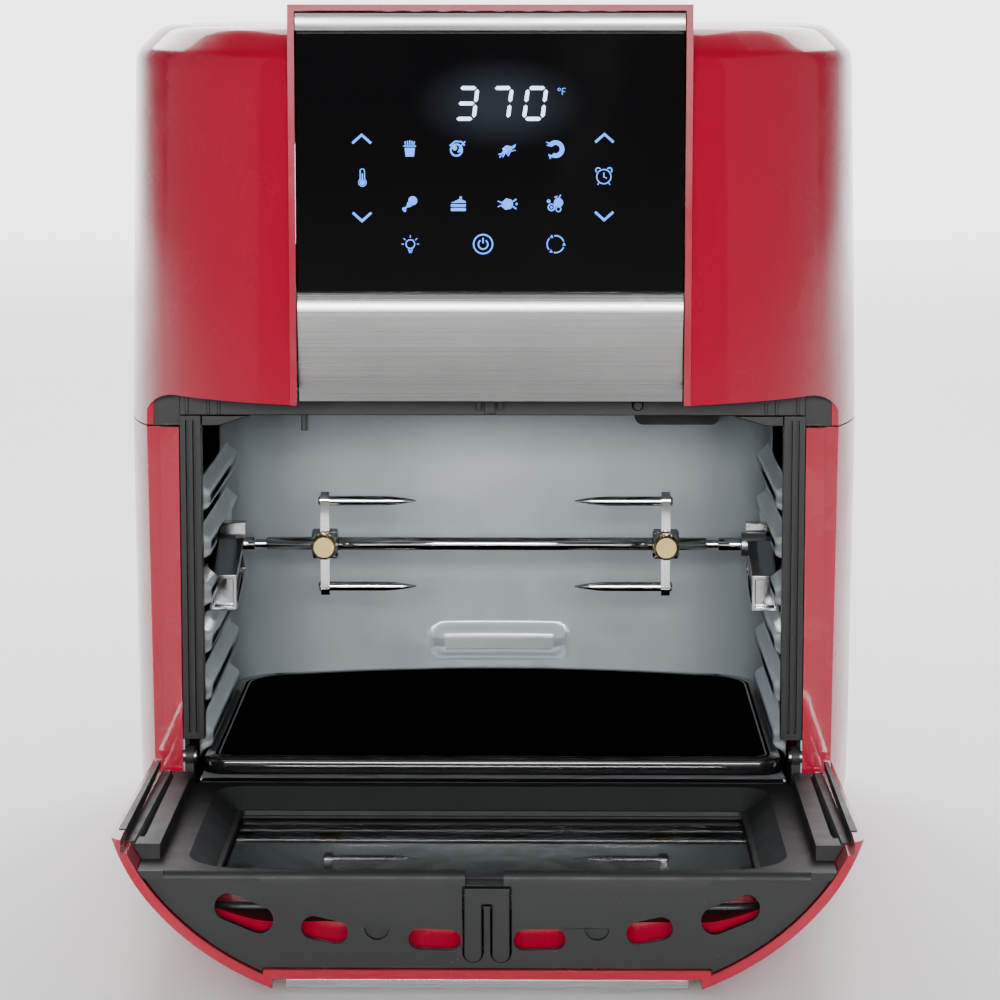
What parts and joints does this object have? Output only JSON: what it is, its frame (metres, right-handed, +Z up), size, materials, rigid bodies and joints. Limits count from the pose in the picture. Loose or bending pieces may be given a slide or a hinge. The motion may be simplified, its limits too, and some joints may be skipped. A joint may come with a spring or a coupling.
{
  "type": "air fryer oven",
  "caption": "Countertop air fryer oven: red case, touch console, drop-down windowed door hanging open, rotisserie spit and drip tray inside.",
  "frame": {"origin": "centre of the footprint with the door hanging open, at the height of the table", "axes": "+X to the user's right, +Y to the rear, +Z up"},
  "size_m": [0.32, 0.4362, 0.3835],
  "materials": {
    "red_cover": "glossy",
    "red_side": "glossy",
    "red_door": "glossy",
    "black_case": "satin",
    "black_frame": "satin",
    "black_panel": "matte",
    "black_glass": "polished",
    "clear_glass": "polished",
    "stainless": "brushed",
    "coated_steel": "satin",
    "enamel": "glossy",
    "rubber": "matte",
    "zinc_steel": "satin",
    "bare_steel": "satin",
    "chrome": "polished",
    "brass": "satin",
    "circuit_board": "satin",
    "display_black": "satin"
  },
  "bodies": {
    "root": {"upper_cover": "red_cover", "lower_side_left": "red_side", "lower_side_right": "red_side", "rear_cover": "black_case", "cord_gland": "black_case", "console_carrier": "black_case", "rotisserie_motor": "black_case", "door_switch": "black_case", "frame_post_left": "black_frame", "frame_post_right": "black_frame", "frame_top_bar": "black_frame", "frame_sill": "black_frame", "latch_catch": "black_frame", "lamp_cover": "black_frame", "control_glass": "black_glass", "lamp": "clear_glass", "console_trim": "stainless", "console_scoop": "stainless", "cavity_left_wall": "coated_steel", "cavity_right_wall": "coated_steel", "cavity_back_wall": "coated_steel", "cavity_floor": "coated_steel", "cavity_ceiling": "coated_steel", "element_guard": "coated_steel", "foot_front_left": "rubber", "foot_rear_left": "rubber", "foot_front_right": "rubber", "foot_rear_right": "rubber", "base_pan": "zinc_steel", "heater_shroud": "zinc_steel", "fan_motor": "zinc_steel", "hinge_bracket_left": "zinc_steel", "hinge_bracket_right": "zinc_steel", "heating_element": "bare_steel", "thermostat_probe": "bare_steel", "spit_holder_left": "chrome", "spit_holder_right": "chrome", "control_board": "circuit_board", "power_board": "circuit_board", "display_module": "display_black"},
    "door": {"door_shell": "red_door", "door_inner_panel": "black_panel", "door_latch": "black_panel", "inner_pane": "clear_glass", "pane_gasket": "rubber", "outer_pane": "black_glass", "door_trim": "stainless", "hinge_pin_left": "bare_steel", "hinge_pin_right": "bare_steel"},
    "tray": {"drip_tray": "enamel"},
    "spit": {"spit_shaft": "chrome"},
    "drive": {"drive_socket": "bare_steel"},
    "fork_left": {"fork_left": "chrome"},
    "fork_right": {"fork_right": "chrome"},
    "screw_left": {"fork_screw_left": "brass"},
    "screw_right": {"fork_screw_right": "brass"},
    "fan": {"convection_fan": "zinc_steel", "motor_shaft": "bare_steel", "cooling_fan": "display_black"},
    "plunger": {"switch_plunger": "black_case"}
  },
  "joints": [
    {"name": "door_hinge", "type": "hinge", "parent": "root", "child": "door", "pos_m": [0, -0.0589, 0.061], "axis": [1, 0, 0], "range_deg": [-90, 0]},
    {"name": "tray_slide", "type": "slide", "parent": "root", "child": "tray", "axis": [0, -1, 0], "range_m": [0, 0.2]},
    {"name": "spit_spin", "type": "hinge", "parent": "root", "child": "spit", "pos_m": [0, 0.0421, 0.1385], "axis": [1, 0, 0], "continuous": true},
    {"name": "drive_spin", "type": "hinge", "parent": "root", "child": "drive", "pos_m": [0, 0.0421, 0.1385], "axis": [1, 0, 0], "continuous": true},
    {"name": "fork_left_slide", "type": "slide", "parent": "spit", "child": "fork_left", "axis": [1, 0, 0], "range_m": [-0.012, 0.02]},
    {"name": "fork_right_slide", "type": "slide", "parent": "spit", "child": "fork_right", "axis": [-1, 0, 0], "range_m": [-0.012, 0.02]},
    {"name": "fork_screw_left_turn", "type": "hinge", "parent": "fork_left", "child": "screw_left", "pos_m": [-0.078, 0.0341, 0.1385], "axis": [0, 1, 0], "continuous": true},
    {"name": "fork_screw_right_turn", "type": "hinge", "parent": "fork_right", "child": "screw_right", "pos_m": [0.078, 0.0341, 0.1385], "axis": [0, 1, 0], "continuous": true},
    {"name": "fan_spin", "type": "hinge", "parent": "root", "child": "fan", "pos_m": [0, 0.0521, 0.23], "axis": [0, 0, 1], "continuous": true},
    {"name": "plunger_press", "type": "slide", "parent": "root", "child": "plunger", "axis": [0, 1, 0], "range_m": [0, 0.0025], "stiffness_N_per_m": 300, "springref_m": -0.002}
  ],
  "couplings": [
    {"joint": "drive_spin", "follows": "spit_spin", "ratio": 1}
  ]
}
